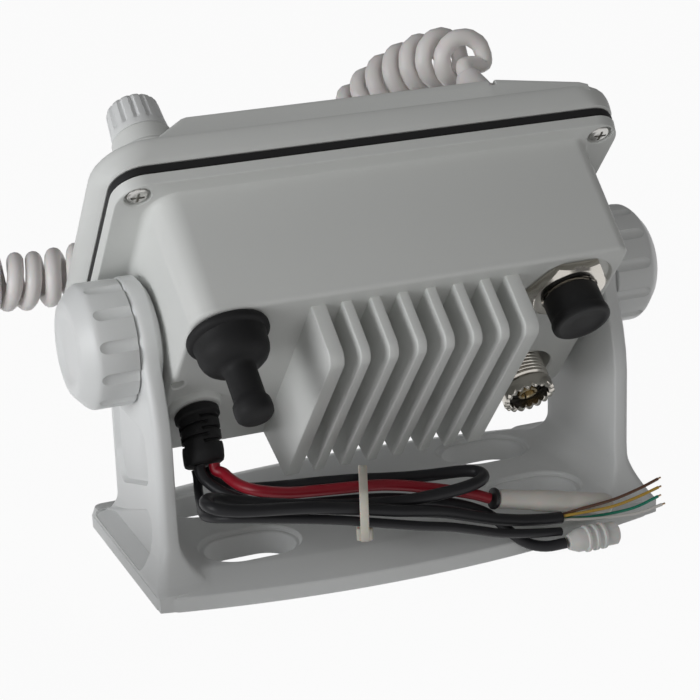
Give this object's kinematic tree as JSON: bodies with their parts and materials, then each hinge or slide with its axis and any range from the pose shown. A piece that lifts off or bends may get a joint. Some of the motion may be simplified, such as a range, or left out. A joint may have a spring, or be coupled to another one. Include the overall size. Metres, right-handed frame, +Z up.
{
  "type": "vhf marine radio",
  "caption": "Compact fixed-mount marine radio tilted in a yoke bracket with clamp knobs, finned rear case, curly-corded fist microphone and tied rear cables.",
  "frame": {"origin": "centre of the underside of the bracket's base, on the surface it is screwed to", "axes": "+Z up from the mounting surface, -Y towards the side the display faces, +X along the pivot towards the channel knob's side"},
  "size_m": [0.2862, 0.1675, 0.1362],
  "materials": {
    "white_case": "satin",
    "white_bracket": "satin",
    "white_cord": "satin",
    "black_rubber": "matte",
    "black_plastic": "matte",
    "grey_plastic": "matte",
    "red_plastic": "satin",
    "red_wire": "satin",
    "display_glass": "clear",
    "board_green": "matte",
    "nickel": "plated",
    "brass": "plated",
    "steel": "plain",
    "clear_sleeve": "translucent look",
    "brown_wire": "matte",
    "yellow_wire": "matte",
    "green_wire": "matte",
    "white_wire": "matte"
  },
  "bodies": {
    "bracket": {"yoke_bracket": "white_bracket", "friction_washer_right": "black_rubber", "friction_washer_left": "black_rubber", "mic_rear_shell": "white_case", "mic_front_shell": "white_case", "mic_hanger_stud": "steel", "mic_cord_relief": "white_cord", "mic_cord": "white_cord", "red_power_wire": "red_wire", "black_power_wire": "black_plastic", "data_cable_thick": "black_plastic", "data_cable_thin": "black_plastic", "power_sleeve": "clear_sleeve", "cable_tie": "clear_sleeve", "conductor_brown": "brown_wire", "conductor_yellow": "yellow_wire", "conductor_green": "green_wire", "conductor_white": "white_wire", "ribbed_plug": "clear_sleeve"},
    "radio": {"rear_case": "white_case", "case_gasket": "black_rubber", "front_bezel": "white_case", "case_screw_1": "steel", "case_screw_2": "steel", "case_screw_3": "steel", "case_screw_4": "steel", "display_window": "display_glass", "display_module": "grey_plastic", "front_circuit_board": "board_green", "speaker": "black_plastic", "main_circuit_board": "board_green", "power_module": "black_plastic", "antenna_socket": "nickel", "antenna_insulator": "black_plastic", "antenna_contact": "brass", "accessory_barrel": "nickel", "accessory_nut": "nickel", "boot_jack": "black_plastic", "power_strain_relief": "black_rubber", "cord_strain_relief": "white_cord"},
    "clamp_right": {"clamp_knob_right": "white_bracket", "clamp_stud_right": "steel"},
    "clamp_left": {"clamp_knob_left": "white_bracket", "clamp_stud_left": "steel"},
    "channel": {"channel_knob": "white_case", "channel_shaft": "steel"},
    "volume": {"volume_knob": "white_case", "volume_shaft": "steel"},
    "flap": {"distress_flap": "red_plastic"},
    "distress": {"distress_key": "red_plastic"},
    "cap": {"dust_cap": "black_rubber"},
    "boot": {"accessory_boot": "black_rubber"},
    "ptt": {"mic_ptt_button": "grey_plastic"},
    "mic_up": {"mic_up_key": "grey_plastic"},
    "mic_down": {"mic_down_key": "grey_plastic"},
    "key1": {"key_1": "grey_plastic"},
    "key2": {"key_2": "grey_plastic"},
    "key3": {"key_3": "grey_plastic"},
    "key4": {"key_4": "grey_plastic"}
  },
  "joints": [
    {"name": "radio_tilt", "type": "hinge", "parent": "bracket", "child": "radio", "pos_m": [0, 0, 0.0672], "axis": [1, 0, 0], "range_deg": [-20, 39], "deforming": ["mic_cord", "red_power_wire", "black_power_wire", "data_cable_thick", "data_cable_thin", "power_sleeve", "cable_tie", "conductor_brown", "conductor_yellow", "conductor_green", "conductor_white", "ribbed_plug"]},
    {"name": "clamp_right_turn", "type": "hinge", "parent": "bracket", "child": "clamp_right", "pos_m": [0, 0, 0.0672], "axis": [1, 0, 0], "range_deg": [0, 360]},
    {"name": "clamp_left_turn", "type": "hinge", "parent": "bracket", "child": "clamp_left", "pos_m": [0, 0, 0.0672], "axis": [-1, 0, 0], "range_deg": [0, 360]},
    {"name": "channel_turn", "type": "hinge", "parent": "radio", "child": "channel", "pos_m": [0.062, -0.00553, 0.12237], "axis": [0, -0.7611, 0.6487], "continuous": true},
    {"name": "volume_turn", "type": "hinge", "parent": "radio", "child": "volume", "pos_m": [0.0505, -0.02655, 0.09771], "axis": [0, -0.7611, 0.6487], "range_deg": [-140, 140]},
    {"name": "flap_swing", "type": "hinge", "parent": "radio", "child": "flap", "pos_m": [0.042, -0.0385, 0.08293], "axis": [1, 0, 0], "range_deg": [-105, 0]},
    {"name": "distress_press", "type": "slide", "parent": "radio", "child": "distress", "axis": [0, 0.7611, -0.6487], "range_m": [0, 0.0008], "stiffness_N_per_m": 400},
    {"name": "cap_pull", "type": "slide", "parent": "radio", "child": "cap", "axis": [0, 0.7611, -0.6487], "range_m": [0, 0.014]},
    {"name": "boot_pull", "type": "slide", "parent": "radio", "child": "boot", "axis": [0, 0.7611, -0.6487], "range_m": [0, 0.02]},
    {"name": "ptt_press", "type": "slide", "parent": "bracket", "child": "ptt", "axis": [1, 0, 0], "range_m": [0, 0.0014], "stiffness_N_per_m": 600},
    {"name": "mic_up_press", "type": "slide", "parent": "bracket", "child": "mic_up", "axis": [0, 0, -1], "range_m": [0, 0.0006], "stiffness_N_per_m": 400},
    {"name": "mic_down_press", "type": "slide", "parent": "bracket", "child": "mic_down", "axis": [0, 0, -1], "range_m": [0, 0.0006], "stiffness_N_per_m": 400},
    {"name": "key_1_press", "type": "slide", "parent": "radio", "child": "key1", "axis": [0, 0.7611, -0.6487], "range_m": [0, 0.0008], "stiffness_N_per_m": 400},
    {"name": "key_2_press", "type": "slide", "parent": "radio", "child": "key2", "axis": [0, 0.7611, -0.6487], "range_m": [0, 0.0008], "stiffness_N_per_m": 400},
    {"name": "key_3_press", "type": "slide", "parent": "radio", "child": "key3", "axis": [0, 0.7611, -0.6487], "range_m": [0, 0.0008], "stiffness_N_per_m": 400},
    {"name": "key_4_press", "type": "slide", "parent": "radio", "child": "key4", "axis": [0, 0.7611, -0.6487], "range_m": [0, 0.0008], "stiffness_N_per_m": 400}
  ]
}
